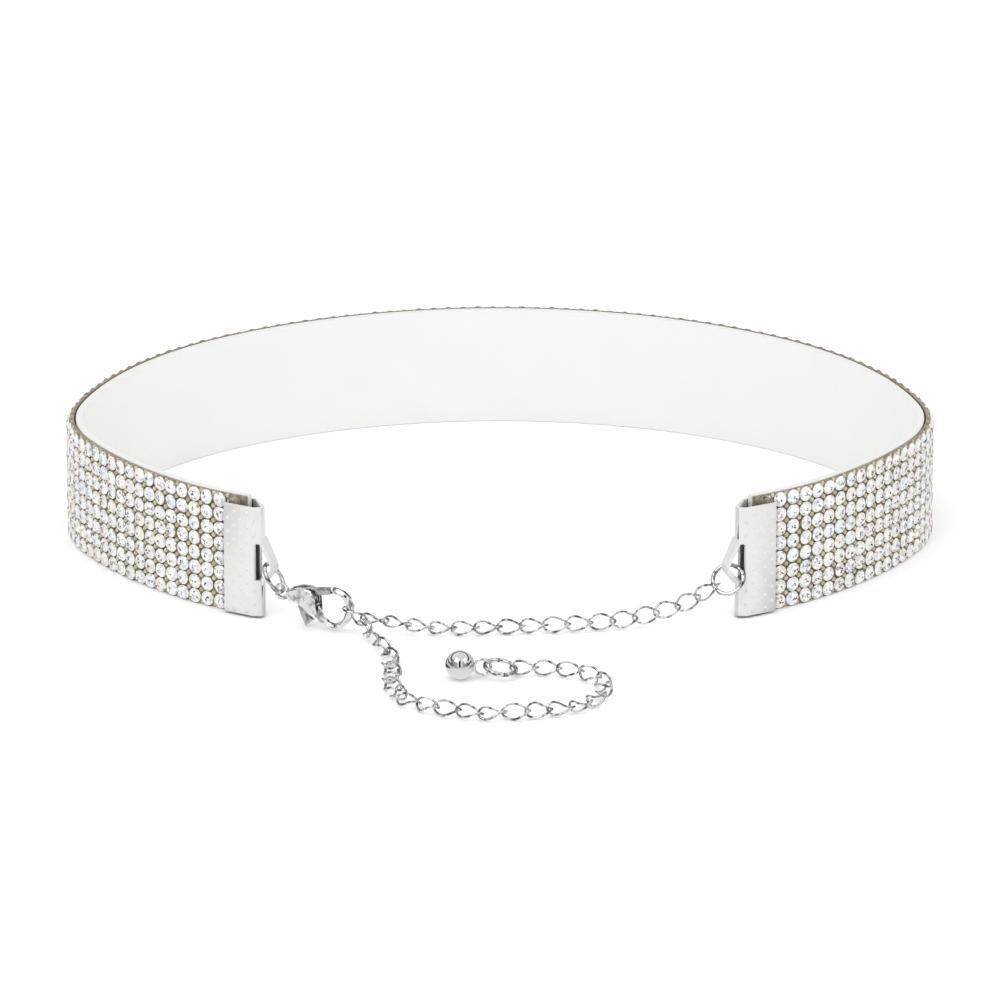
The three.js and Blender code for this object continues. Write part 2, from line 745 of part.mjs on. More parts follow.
// The hooked link lies round the nose of the hook, its near end wire along the clasp's thickness
function hookedLink(number) {
  const { along, up, face } = claspAxes();
  const arm = claspCentre
    .clone()
    .addScaledVector(along, HOOK_NOSE.x * CLASP_LENGTH)
    .addScaledVector(up, HOOK_NOSE.y * CLASP_LENGTH);
  const direction = along
    .clone()
    .applyAxisAngle(face, -radians(HOOKED_DIP))
    .applyAxisAngle(up, radians(HOOKED_TURN));
  const inset = (HOOK_NOSE.width * CLASP_LENGTH + LINK_WIRE) / 2 + HOOKED_CLEARANCE;
  const width = face.clone().addScaledVector(direction, -face.dot(direction)).normalize();
  const mesh = namedMesh(`link_${number}`, LINK_GEOMETRY, SILVER);
  orient(mesh, direction, width.applyAxisAngle(direction, -radians(LINK_TWIST)));
  mesh.position.copy(arm).addScaledVector(direction, LINK_CENTRE_LENGTH / 2 - inset);
  mesh.updateMatrix();
  return mesh;
}

function chain() {
  const ring = new THREE.Matrix4().makeBasis(
    rightHang.through,
    rightHang.hang,
    new THREE.Vector3().crossVectors(rightHang.through, rightHang.hang),
  );
  ring.setPosition(rightHang.anchor.clone().addScaledVector(rightHang.hang, RING_CENTRE_RADIUS));
  const start = threadedRun(ring, RING_CENTRE_RADIUS, RING_THREAD);
  const hook = hookedLink(0).matrix;
  const end = threadedRun(hook, LINK_CENTRE_LENGTH, FRONT_THREAD);
  const front = frontStops(start.far, end.far);
  const frontPlaces = front.map(({ at }) => at);
  const frontStretch = [start.stop, ...front, end.stop];
  const frontPoints = [start.near, start.far, ...frontPlaces, end.far, end.near];
  const frontLinks = linksAlong(evenWalk(frontPoints, frontStretch), frontStretch, 1);

  const leave = threadedRun(hook, LINK_CENTRE_LENGTH, TAIL_THREAD);
  const tail = tailStops(leave.far);
  const tailPoints = [leave.near, leave.far, ...tail.map(({ at }) => at)];
  const tailStretch = [leave.stop, ...tail];
  const { junctions } = walk(tailPoints, LINK_PITCH, TAIL_LINKS, tailStretch);
  const hookedNumber = frontLinks.length + 1;
  const tailLinks = linksAlong(junctions, tailStretch, hookedNumber + 1);
  return [...frontLinks, hookedLink(hookedNumber), ...tailLinks, ...freeEnd(junctions)];
}

// Ring and ball at the end of the tail
function freeEnd(junctions) {
  const last = junctions[junctions.length - 1];
  const run = last.clone().sub(junctions[junctions.length - 2]).normalize();
  const outward = levelDirection(END_RING_HEADING).addScaledVector(UP, END_RING_RISE).normalize();
  const across = new THREE.Vector3().crossVectors(UP, outward).normalize();
  across.applyAxisAngle(outward, radians(END_RING_LEAN));
  const ringInset = (RING_WIRE + LINK_WIRE) / 2 + WIRE_GAP - LINK_OVERLAP;
  const seat = last.clone().addScaledVector(run, -ringInset);
  const ring = hungRing("jump_ring_end", seat, across, outward);
  const farSide = seat.clone().addScaledVector(outward, 2 * RING_CENTRE_RADIUS);

  // The eye stands upright round the ring's far side, with the ball beyond it
  const dropRun = levelDirection(DROP_HEADING);
  const eyeRadius = (EYE_OUTER - EYE_WIRE) / 2;
  const eyeInset = (RING_WIRE + EYE_WIRE) / 2 + WIRE_GAP;
  const eyeCentre = farSide.clone().addScaledVector(dropRun, eyeRadius - eyeInset);
  const ballRadius = BALL_DIAMETER / 2;
  const reach = Math.sqrt((EYE_OUTER / 2 + ballRadius - EYE_SINK) ** 2 - (eyeCentre.z - ballRadius) ** 2);
  const ballCentre = eyeCentre.clone().addScaledVector(dropRun, reach).setZ(ballRadius);
  const eyePlace = eyeCentre.clone().sub(ballCentre);
  const drop = namedMesh("ball_drop", ballDrop(eyePlace, dropRun), SILVER);
  drop.position.copy(ballCentre);
  return [ring, drop];
}

// Ball about the origin, with its eye at the given place
function ballDrop(eyePlace, dropRun) {
  const ball = new THREE.SphereGeometry(BALL_DIAMETER / 2, BALL_SEGMENTS, BALL_SEGMENTS / 2);
  const eye = ringGeometry((EYE_OUTER - EYE_WIRE) / 2, EYE_WIRE, EYE_SEGMENTS);
  const turn = new THREE.Object3D();
  orient(turn, dropRun.clone().negate(), UP);
  eye.applyQuaternion(turn.quaternion).translate(eyePlace.x, eyePlace.y, eyePlace.z);
  return geometryFrom(joined([ball, eye]));
}

// Moves the necklace so that the middle of its footprint is the origin
function centreOnOrigin(object) {
  object.updateMatrixWorld(true);
  const bounds = new THREE.Box3().setFromObject(object, true);
  const centre = bounds.getCenter(new THREE.Vector3());
  object.position.set(-centre.x, -centre.y, -bounds.min.z);
}

const necklace = new THREE.Group();
necklace.add(bandBacking(), stoneStrip(), cap("cap_left", -1), cap("cap_right", 1));
necklace.add(hungRing("jump_ring_left", leftHang.anchor, leftHang.through, leftHang.hang));
necklace.add(hungRing("jump_ring_right", rightHang.anchor, rightHang.through, rightHang.hang));
necklace.add(clasp(claspCentre), ...chain());
centreOnOrigin(necklace);

export default necklace;
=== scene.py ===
# Looks of the rhinestone choker: stones, mesh, metal finishes, floor, light and camera
import math
import random
import bpy
import numpy as np
from mathutils import Matrix, Vector


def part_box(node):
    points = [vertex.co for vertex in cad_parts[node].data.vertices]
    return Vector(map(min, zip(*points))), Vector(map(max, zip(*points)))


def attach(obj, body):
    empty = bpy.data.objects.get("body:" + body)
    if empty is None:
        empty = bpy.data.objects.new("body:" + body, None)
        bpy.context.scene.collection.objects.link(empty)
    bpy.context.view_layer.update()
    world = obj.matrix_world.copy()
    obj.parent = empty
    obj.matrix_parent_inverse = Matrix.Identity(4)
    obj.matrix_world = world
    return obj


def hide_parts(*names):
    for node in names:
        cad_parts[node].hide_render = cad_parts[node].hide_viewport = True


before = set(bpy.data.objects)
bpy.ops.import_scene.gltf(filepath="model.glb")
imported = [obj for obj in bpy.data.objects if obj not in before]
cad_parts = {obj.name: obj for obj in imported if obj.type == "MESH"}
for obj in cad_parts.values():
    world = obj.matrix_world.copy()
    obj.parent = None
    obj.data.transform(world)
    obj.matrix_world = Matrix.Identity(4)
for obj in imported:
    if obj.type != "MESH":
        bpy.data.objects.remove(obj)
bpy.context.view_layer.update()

SEED = 7
rng = random.Random(SEED)
MM = 0.001

# Band sizes, the same as the model's
STONE_PITCH = 2.1 * MM
STONE_ROWS = 8
BAND_HEIGHT = STONE_ROWS * STONE_PITCH
BAND_LENGTH = 249.4 * MM
STRIP_OUT = 1.1 * MM
BACKING_OUT = -0.25 * MM
BACKING_IN = -1.25 * MM
# Each half of the band from the back's middle: share of the half's length, and turn in degrees
BAND_BENDS = ((0.337, 36), (0.279, 40), (0.123, 41.5), (0.169, 20.5), (0.067, 13), (0.025, 0))
LINING_EDGE = 0.1 * MM
UP = Vector((0, 0, 1))

# Steps of what is swept along the band, and the turn in degrees that is kept as a sharp edge
BAND_STEPS = 260
BAND_CREASE = 35

# Stones: the cut's rings as shares of the radius, and how far out from the band's middle line they are
STONE_RADIUS = 1.02 * MM
STONE_FACETS = 8
HEART_SHARE = 0.24
TABLE_SHARE = 0.56
BREAK_SHARE = 0.8
BREAK_RISE = 0.45
FOOT_SHARE = 0.96
STONE_TOP = 1.08 * MM
GIRDLE_TOP = 0.66 * MM
STONE_JITTER = 0.03 * MM
STONE_LEAN = 0.05

# The mesh that holds the stones: its sheet, the cups and the nubs between them, each of three rings
SHEET_OUT = 0.3 * MM
SHEET_INSET = 0.05 * MM
CUP_RADIUS = 1.05 * MM
CUP_TOP = 0.6 * MM
CUP_LIP = 0.04 * MM
CUP_LIP_SHARE = 0.9
CUP_SIDES = 12
MESH_RINGS = 3
NUB_RADIUS = 0.36 * MM
NUB_TOP = 0.78 * MM
NUB_SHOULDER = 0.8
NUB_FLAT_SHARE = 0.55
NUB_SIDES = 6
RIM_NUB_TOP = 0.5 * MM

# Chain link, jump ring and drop sizes, the same as the model's; the twist is in degrees
LINK_LENGTH = 3.76 * MM
LINK_WIDTH = 2.16 * MM
LINK_WIRE = 0.34 * MM
LINK_TWIST = 54
RING_RADIUS = 2.1 * MM
RING_WIRE = 0.6 * MM
BALL_RADIUS = 1.95 * MM
EYE_RADIUS = 1.125 * MM
EYE_WIRE = 0.45 * MM
EYE_CLEARANCE = 0.2 * MM

# How finely links, rings and ball are drawn; a jump ring's cut in radians, its sharp edge in degrees
LINK_STEPS = 40
LINK_SIDES = 10
RING_STEPS = 48
RING_SIDES = 12
RING_CUT = 0.05
RING_CUT_PLACES = (0.2, 0.6)
RING_CREASE = 50
BALL_RINGS = 24
BALL_SIDES = 48
EYE_STEPS = 36

# Softened edges of the clasp and the caps, where they turn by more than an angle in degrees
WELD_DISTANCE = 0.002 * MM
EDGE_ANGLE = 20
CAP_EDGE = 0.08 * MM
CAP_EDGE_STEPS = 2
CLASP_EDGE = 0.14 * MM
CLASP_EDGE_STEPS = 3

# Cap sizes, the same as the model's, and the raised dots on its cheeks; a dot's heights are shares of its
# radius, and its shoulder is the share of the radius where it lies and its height
CAP_GRIP = 2.7 * MM
CAP_CHEEK = 4.5 * MM
CAP_END = 5.6 * MM
CAP_INNER_CHEEK = 3.1 * MM
CAP_LOW = 0.3 * MM
CAP_HIGH = 15.9 * MM
CAP_OUT = 1.75 * MM
CAP_FOLD_OUT = 1.245 * MM
CAP_IN = -1.9 * MM
SLOT_LOW = 5.4 * MM
SLOT_HIGH = 10.7 * MM
DOT_RADIUS = 0.26 * MM
DOT_HEIGHT = 0.6
DOT_SHOULDER = (0.65, 0.42)
DOT_SIDES = 8
DOT_COLUMN = 1.0 * MM
DOT_ROW = 2.0 * MM
DOT_MARGIN = 0.6 * MM
DOT_FIRST_COLUMN = 0.55 * MM

# Camera at the photo's angle, far off with a long lens; the lens is in millimetres as the sensor is
SENSOR_WIDTH = 36
LENS = 364
CAMERA_DISTANCE = 1.4
ELEVATION = math.radians(20)
AIM = Vector((0, 8.81 * MM, 6.04 * MM))
NEAREST = 0.05
FARTHEST = 30

# Shading: how far gloss wanders, how deep unevenness goes, and the levels between which a colour changes
GLOSS_SPREAD = 0.3
FINE_DEPTH = 0.1 * MM
WAVE_DEPTH = 0.4 * MM
MOTTLE_EDGES = (0.36, 0.54)
WANDER_EDGES = (0.3, 0.7)
# Painted shade in the caps' folds: how far it reaches, where it starts and its darkest level
CREVICE_REACH = 2.5 * MM
CREVICE_EDGES = (0.3, 0.5)
CREVICE_LEVEL = 0.02
UPWARD_EDGES = (0.3, 0.8)

# Floor and lights, in metres and watts
FLOOR_HALF = 6
FLOOR_DROP = 0.02 * MM
WORLD_STRENGTH = 1.2
LIGHT_SIZE = 0.5
KEY_PLACE = (-0.35, -0.45, 0.75)
KEY_POWER = 1.5
FILL_PLACE = (0.5, -0.3, 0.5)
FILL_POWER = 0.5


def new_material(name):
    """A node material and its main shader."""
    material = bpy.data.materials.new(name)
    material.use_nodes = True
    return material, material.node_tree.nodes["Principled BSDF"]


def node_of(material, kind, **values):
    """A node of the given kind with its attributes set."""
    node = material.node_tree.nodes.new(kind)
    for key, value in values.items():
        setattr(node, key, value)
    return node


def set_inputs(node, values):
    """Constants on a node's own sockets."""
    for name, value in values.items():
        node.inputs[name].default_value = value


def link(material, source, target):
    """Joins one node's output to another's input."""
    material.node_tree.links.new(source, target)


def grey(level):
    """An even grey as a colour with full cover."""
    return (level, level, level, 1)


def object_noise(material, scale, detail):
    """Noise in object space."""
    coords = node_of(material, "ShaderNodeTexCoord")
    noise = node_of(material, "ShaderNodeTexNoise")
    set_inputs(noise, {"Scale": scale, "Detail": detail})
    link(material, coords.outputs["Object"], noise.inputs["Vector"])
    return noise


def noise_bump(material, shader, scale, strength, depth=FINE_DEPTH):
    """Fine uneven surface from noise in object space."""
    noise = object_noise(material, scale, detail=3.0)
    bump = node_of(material, "ShaderNodeBump")
    set_inputs(bump, {"Strength": strength, "Distance": depth})
    link(material, noise.outputs["Fac"], bump.inputs["Height"])
    link(material, bump.outputs["Normal"], shader.inputs["Normal"])
    return noise


def colour_between(material, shader, value, edges, low, high):
    """Base colour that runs from low to high while the value passes between two edges."""
    ramp = node_of(material, "ShaderNodeValToRGB")
    for element, position, colour in zip(ramp.color_ramp.elements, edges, (low, high)):
        element.position = position
        element.color = colour
    link(material, value, ramp.inputs["Fac"])
    link(material, ramp.outputs["Color"], shader.inputs["Base Color"])


def metal_material(name, colour, metallic, roughness, scale, strength, depth=FINE_DEPTH):
    """Plated metal whose gloss wanders a little."""
    material, shader = new_material(name)
    set_inputs(shader, {"Base Color": colour, "Metallic": metallic})
    noise = noise_bump(material, shader, scale, strength, depth)
    ramp = node_of(material, "ShaderNodeMapRange")
    set_inputs(ramp, {"To Min": roughness * (1 - GLOSS_SPREAD), "To Max": roughness * (1 + GLOSS_SPREAD)})
    link(material, noise.outputs["Fac"], ramp.inputs["Value"])
    link(material, ramp.outputs["Result"], shader.inputs["Roughness"])
    return material, shader


def painted_dark_reflections(material, shader, low, high, scale):
    """Breaks a metal's reflections with darker patches along it: painted dark reflections in its colour."""
    noise = object_noise(material, scale, detail=1.0)
    colour_between(material, shader, noise.outputs["Fac"], MOTTLE_EDGES, grey(low), grey(high))


def pale_material(name, low, high, roughness, scale, strength):
    """Matt surface whose colour wanders between two."""
    material, shader = new_material(name)
    noise = noise_bump(material, shader, scale, strength)
    colour_between(material, shader, noise.outputs["Fac"], WANDER_EDGES, low, high)
    set_inputs(shader, {"Roughness": roughness})
    return material, shader


def painted_crevice_shade(material, shader, colour):
    """Darkens the deep inside of a fold with painted shade in its colour, where little light gets in."""
    shade = node_of(material, "ShaderNodeAmbientOcclusion", samples=8)
    set_inputs(shade, {"Distance": CREVICE_REACH})
    colour_between(material, shader, shade.outputs["AO"], CREVICE_EDGES, grey(CREVICE_LEVEL), colour)


def darker_top(material, shader, share):
    """Makes the parts that face upward a little darker."""
    geometry = node_of(material, "ShaderNodeNewGeometry")
    split = node_of(material, "ShaderNodeSeparateXYZ")
    facing = node_of(material, "ShaderNodeMapRange")
    low, high = UPWARD_EDGES
    set_inputs(facing, {"From Min": low, "From Max": high, "To Min": 1.0, "To Max": share})
    scaled = node_of(material, "ShaderNodeVectorMath", operation="SCALE")
    colour = shader.inputs["Base Color"].links[0].from_socket
    link(material, geometry.outputs["Normal"], split.inputs["Vector"])
    link(material, split.outputs["Z"], facing.inputs["Value"])
    link(material, colour, scaled.inputs[0])
    link(material, facing.outputs["Result"], scaled.inputs["Scale"])
    link(material, scaled.outputs["Vector"], shader.inputs["Base Color"])


def stone_material():
    """Foil-backed cut stones: each facet has its own share of painted light, painted dark reflection and
    colour.
    """
    material, shader = new_material("cut_stones")
    # Each facet's colour with its painted light, painted dark and painted glints, read from the mesh
    facet_colour_and_painted_light = node_of(material, "ShaderNodeAttribute", attribute_name="facet_colour_and_painted_light")
    link(material, facet_colour_and_painted_light.outputs["Color"], shader.inputs["Base Color"])
    set_inputs(shader, {"Metallic": 0.25, "Roughness": 0.15, "Coat Weight": 0.3, "Coat Roughness": 0.03})
    noise_bump(material, shader, scale=500.0, strength=0.05)
    return material


# Metals: polished ball, wire with painted dark reflections, wavy clasp with painted dark reflections and
# its darker lever with painted shade, satin caps
SILVER, _ = metal_material(
    "polished_silver", colour=grey(0.8), metallic=1.0, roughness=0.06, scale=900.0, strength=0.1
)
WIRE, wire_shader = metal_material(
    "wire_silver", colour=grey(0.8), metallic=1.0, roughness=0.08, scale=900.0, strength=0.1
)
# Painted dark reflections on the wire
painted_dark_reflections(WIRE, wire_shader, low=0.18, high=0.8, scale=1300.0)
CLASP, clasp_shader = metal_material(
    "clasp_silver",
    colour=grey(0.84),
    metallic=1.0,
    roughness=0.06,
    scale=220.0,
    strength=1.0,
    depth=WAVE_DEPTH,
)
# Painted dark reflections on the clasp
painted_dark_reflections(CLASP, clasp_shader, low=0.42, high=0.88, scale=1000.0)
# The lever is the clasp's silver made darker: painted shade, as it lies below the clasp's body; it also has
# painted dark reflections
SHADED_LEVER, shaded_lever_shader = metal_material(
    "lever_silver_painted_shade",
    colour=grey(0.5),
    metallic=1.0,
    roughness=0.12,
    scale=220.0,
    strength=1.0,
    depth=WAVE_DEPTH,
)
painted_dark_reflections(SHADED_LEVER, shaded_lever_shader, low=0.25, high=0.55, scale=1000.0)
CAP_COLOUR = (0.79, 0.79, 0.775, 1)
CAP, cap_shader = metal_material(
    "cap_silver", colour=CAP_COLOUR, metallic=0.4, roughness=0.4, scale=700.0, strength=0.1
)
# Painted shade deep in the caps' folds
painted_crevice_shade(CAP, cap_shader, CAP_COLOUR)

# Lining, mesh, stones and floor
BACKING, backing_shader = pale_material(
    "white_lining",
    low=(0.735, 0.735, 0.72, 1),
    high=(0.75, 0.75, 0.735, 1),
    roughness=0.7,
    scale=120.0,
    strength=0.02,
)
darker_top(BACKING, backing_shader, share=0.88)
MESH, mesh_shader = pale_material(
    "stone_mesh",
    low=(0.17, 0.14, 0.09, 1),
    high=(0.4, 0.355, 0.265, 1),
    roughness=0.4,
    scale=1500.0,
    strength=0.3,
)
set_inputs(mesh_shader, {"Metallic": 0.2})
NUBS, _ = pale_material(
    "mesh_nubs",
    low=(0.36, 0.32, 0.22, 1),
    high=(0.6, 0.545, 0.43, 1),
    roughness=0.4,
    scale=900.0,
    strength=0.3,
)
STONES = stone_material()
FLOOR, _ = pale_material(
    "pale_floor", low=grey(0.93), high=grey(0.95), roughness=0.7, scale=20.0, strength=0.0
)


def mesh_object(name, vertices, faces, material, smooth=True):
    """A mesh object from plain lists."""
    mesh = bpy.data.meshes.new(name)
    mesh.from_pydata([tuple(v) for v in vertices], [], faces)
    mesh.materials.append(material)
    mesh.polygons.foreach_set("use_smooth", [smooth] * len(mesh.polygons))
    mesh.update()
    obj = bpy.data.objects.new(name, mesh)
    bpy.context.scene.collection.objects.link(obj)
    return obj


def flat_above(obj, degrees):
    """Keeps edges sharp where the surface turns by more than the given angle."""
    obj.data.set_sharp_from_angle(angle=math.radians(degrees))


def ring_walls(rings, sides, closed=False):
    """Faces between rings of points that follow each other, back to the first when closed."""
    faces = []
    for i in range(rings if closed else rings - 1):
        low = i * sides
        high = (i + 1) % rings * sides
        for k in range(sides):
            m = (k + 1) % sides
            faces.append((low + k, low + m, high + m, high + k))
    return faces


def end_faces(rings, sides):
    """The two faces that shut a run of rings."""
    first = tuple(reversed(range(sides)))
    last = tuple((rings - 1) * sides + k for k in range(sides))
    return [first, last]


class Pile:
    """Vertices and faces of many small pieces that become one mesh."""

    def __init__(self):
        self.vertices = []
        self.faces = []
        self.facet_colours_and_painted_light = []

    def add(self, vertices, faces, facet_colours_and_painted_light=None):
        start = len(self.vertices)
        self.vertices.extend(vertices)
        self.faces.extend([tuple(start + i for i in face) for face in faces])
        if facet_colours_and_painted_light:
            self.facet_colours_and_painted_light.extend(facet_colours_and_painted_light)

    def build(self, name, material, smooth=True):
        obj = mesh_object(name, self.vertices, self.faces, material, smooth)
        if self.facet_colours_and_painted_light:
            layer = obj.data.attributes.new("facet_colour_and_painted_light", "FLOAT_COLOR", "FACE")
            layer.data.foreach_set("color", np.array(self.facet_colours_and_painted_light, float).ravel())
        return obj


def tube(centres, radius, sides, closed):
    """Vertices and faces of a round wire along points."""
    count = len(centres)
    points = [Vector(c) for c in centres]
    tangents = []
    for i in range(count):
        before = points[(i - 1) % count] if closed or i > 0 else points[i]
        after = points[(i + 1) % count] if closed or i < count - 1 else points[i]
        tangents.append((after - before).normalized())
    normal = tangents[0].orthogonal().normalized()
    normals = [normal]
    for i in range(1, count):
        turn = tangents[i - 1].rotation_difference(tangents[i])
        normal = turn @ normal
        normals.append(normal)
    spin = 0.0
    if closed:
        turn = tangents[-1].rotation_difference(tangents[0])
        last = turn @ normals[-1]
        spin = math.atan2(last.cross(normals[0]).dot(tangents[0]), last.dot(normals[0]))
    vertices = []
    for i, (point, tangent) in enumerate(zip(points, tangents)):
        first = Matrix.Rotation(spin * i / count, 3, tangent) @ normals[i]
        second = tangent.cross(first)
        for k in range(sides):
            angle = 2 * math.pi * k / sides
            vertices.append(point + radius * (math.cos(angle) * first + math.sin(angle) * second))
    faces = ring_walls(count, sides, closed)
    if not closed:
        faces += end_faces(count, sides)
    return vertices, faces


# Middle line of the band, placed against the strip in the frame
_, strip_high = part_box("stone_strip")
LINE_BACK = strip_high.y - STRIP_OUT


def band_point(along):
    """Place, outward and forward direction of the middle line; along is 0 at the back's middle."""
    side = 1.0 if along >= 0 else -1.0
    left = abs(along)
    x, y, heading = 0.0, LINE_BACK, 0.0
    for share, turn in BAND_BENDS:
        whole = share * BAND_LENGTH / 2
        step = min(left, whole)
        if turn:
            radius = whole / math.radians(turn)
            after = heading + step / radius
            x += radius * (math.sin(after) - math.sin(heading))
            y += radius * (math.cos(after) - math.cos(heading))
            heading = after
        else:
            x += step * math.cos(heading)
            y -= step * math.sin(heading)
        left -= step
    place = Vector((side * x, y, 0))
    outward = Vector((side * math.sin(heading), math.cos(heading), 0))
    forward = Vector((math.cos(heading), -side * math.sin(heading), 0))
    return place, outward, forward


def sweep(name, section, material):
    """A closed section of height and outward distance swept along the band."""
    vertices = []
    for step in range(BAND_STEPS + 1):
        place, outward, _ = band_point((step / BAND_STEPS - 0.5) * BAND_LENGTH)
        for height, out in section:
            vertices.append(place + outward * out + Vector((0, 0, height)))
    count = len(section)
    faces = ring_walls(BAND_STEPS + 1, count) + end_faces(BAND_STEPS + 1, count)
    obj = mesh_object(name, vertices, faces, material)
    flat_above(obj, BAND_CREASE)
    return obj


def lining():
    """White lining with softly rounded edges."""
    section = [
        (LINING_EDGE, BACKING_OUT),
        (0, BACKING_OUT - LINING_EDGE),
        (0, BACKING_IN + LINING_EDGE),
        (LINING_EDGE, BACKING_IN),
        (BAND_HEIGHT - LINING_EDGE, BACKING_IN),
        (BAND_HEIGHT, BACKING_IN + LINING_EDGE),
        (BAND_HEIGHT, BACKING_OUT - LINING_EDGE),
        (BAND_HEIGHT - LINING_EDGE, BACKING_OUT),
    ]
    obj = sweep("lining", section, BACKING)
    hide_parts("band_backing")
    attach(obj, "necklace")


def ring_of(count, radius, height, turn=0.0):
    """Points of a level ring; turn is in steps."""
    points = []
    for k in range(count):
        angle = 2 * math.pi * (k + turn) / count
        points.append((radius * math.cos(angle), radius * math.sin(angle), height))
    return points


def stone_shape():
    """A round cut stone's points: heart of the table, table, crown break, girdle and foot."""
    break_top = STONE_TOP * BREAK_RISE + GIRDLE_TOP * (1 - BREAK_RISE)
    points = [(0.0, 0.0, STONE_TOP)]
    points += ring_of(STONE_FACETS, HEART_SHARE, STONE_TOP)
    points += ring_of(STONE_FACETS, TABLE_SHARE, STONE_TOP, 0.5)
    points += ring_of(STONE_FACETS, BREAK_SHARE, break_top)
    points += ring_of(2 * STONE_FACETS, 1.0, GIRDLE_TOP)
    points += ring_of(2 * STONE_FACETS, FOOT_SHARE, SHEET_OUT)
    return points


def facet_faces():
    """Faces of the stone and their kind, from the heart outward to the side."""
    heart = 1
    table = heart + STONE_FACETS
    crown = table + STONE_FACETS
    girdle = crown + STONE_FACETS
    foot = girdle + 2 * STONE_FACETS
    faces = []
    for k in range(STONE_FACETS):
        after = (k + 1) % STONE_FACETS
        before = (k - 1) % STONE_FACETS
        faces.append(((0, heart + k, heart + after), "heart"))
        faces.append(((heart + k, table + k, heart + after), "table"))
        faces.append(((heart + k, table + before, table + k), "table"))
        faces.append(((table + before, crown + k, table + k), "star"))
        faces.append(((table + k, crown + k, crown + after), "main"))
        here = girdle + 2 * k
        middle = here + 1
        beyond = girdle + 2 * after
        faces.append(((crown + k, here, middle), "girdle"))
        faces.append(((crown + k, middle, crown + after), "girdle"))
        faces.append(((crown + after, middle, beyond), "girdle"))
    for k in range(2 * STONE_FACETS):
        after = (k + 1) % (2 * STONE_FACETS)
        faces.append(((girdle + after, girdle + k, foot + k, foot + after), "side"))
    return faces


# Hues of whole stones, painted shade on those inside the caps, and painted glints of colour on the few
# facets that flash one; then the chance of a glint and the levels of painted bright facets
TINTS = ((1.0, 0.985, 0.93), (1.0, 1.0, 0.96), (1.0, 0.99, 0.97), (1.0, 0.96, 0.93), (0.96, 0.98, 1.0))
CAP_PAINTED_SHADE = (0.3, 0.26, 0.2)
GLINTS = ((1.0, 0.93, 0.72), (1.0, 0.84, 0.86), (0.78, 0.95, 1.0), (0.88, 0.84, 1.0))
GLINT_ABOVE = 0.93
BRIGHT_LEVELS = (0.8, 0.95)

# Painted light for each kind of facet: the share that is dark, the dark level, the share that is grey and
# its level
FACET_PAINTED_LIGHT = {
    "heart": (0.4, 0.04, 0.15, 0.35),
    "table": (0.07, 0.12, 0.13, 0.55),
    "star": (0.03, 0.25, 0.15, 0.62),
    "main": (0.03, 0.3, 0.15, 0.65),
    "girdle": (0.05, 0.35, 0.15, 0.65),
    "side": (0.0, 0.5, 1.0, 0.5),
}


def painted_facet_colour(kind, stone_hue_and_painted_light):
    """Colour of one facet with painted light, by chance: most are painted bright, some painted dark, some
    with a painted glint of colour.
    """
    dark_share, dark_level, grey_share, grey_level = FACET_PAINTED_LIGHT[kind]
    chance = rng.random()
    level = rng.uniform(*BRIGHT_LEVELS)
    if chance < dark_share:
        level = dark_level
    elif chance < dark_share + grey_share:
        level = grey_level
    elif chance > GLINT_ABOVE:
        stone_hue_and_painted_light = GLINTS[rng.randrange(len(GLINTS))]
    return tuple(min(1.0, level * h) for h in stone_hue_and_painted_light) + (1.0,)


def within_band(points):
    """The points, with none below or above the band's edges."""
    return [Vector((p.x, p.y, min(max(p.z, 0.0), BAND_HEIGHT))) for p in points]


def add_stone(stones, cups, centre, axis, forward, faces, shape, stone_hue_and_painted_light):
    """One stone, turned by chance, and the open cup that holds it."""
    spin = rng.uniform(0, 2 * math.pi / STONE_FACETS)
    first = (forward - axis * forward.dot(axis)).normalized()
    second = axis.cross(first)
    one = first * math.cos(spin) + second * math.sin(spin)
    two = axis.cross(one)
    points = [centre + (one * x + two * y) * STONE_RADIUS + axis * out for x, y, out in shape]
    facet_colours_and_painted_light = [painted_facet_colour(kind, stone_hue_and_painted_light) for _, kind in faces]
    stones.add(within_band(points), [face for face, _ in faces], facet_colours_and_painted_light)
    rings = ring_of(CUP_SIDES, 1.0, SHEET_OUT)
    rings += ring_of(CUP_SIDES, 1.0, CUP_TOP)
    rings += ring_of(CUP_SIDES, CUP_LIP_SHARE, CUP_TOP + CUP_LIP)
    cup_points = [centre + (one * x + two * y) * CUP_RADIUS + axis * out for x, y, out in rings]
    cups.add(within_band(cup_points), ring_walls(MESH_RINGS, CUP_SIDES))


def add_nub(nubs, base, forward, outward, top):
    """A small flat-topped nub of the mesh between four stones."""
    rings = ring_of(NUB_SIDES, NUB_RADIUS, SHEET_OUT)
    rings += ring_of(NUB_SIDES, NUB_RADIUS, top * NUB_SHOULDER)
    rings += ring_of(NUB_SIDES, NUB_RADIUS * NUB_FLAT_SHARE, top)
    points = [base + forward * x + Vector((0, 0, y)) + outward * out for x, y, out in rings]
    _, flat_top = end_faces(MESH_RINGS, NUB_SIDES)
    nubs.add(within_band(points), ring_walls(MESH_RINGS, NUB_SIDES) + [flat_top])


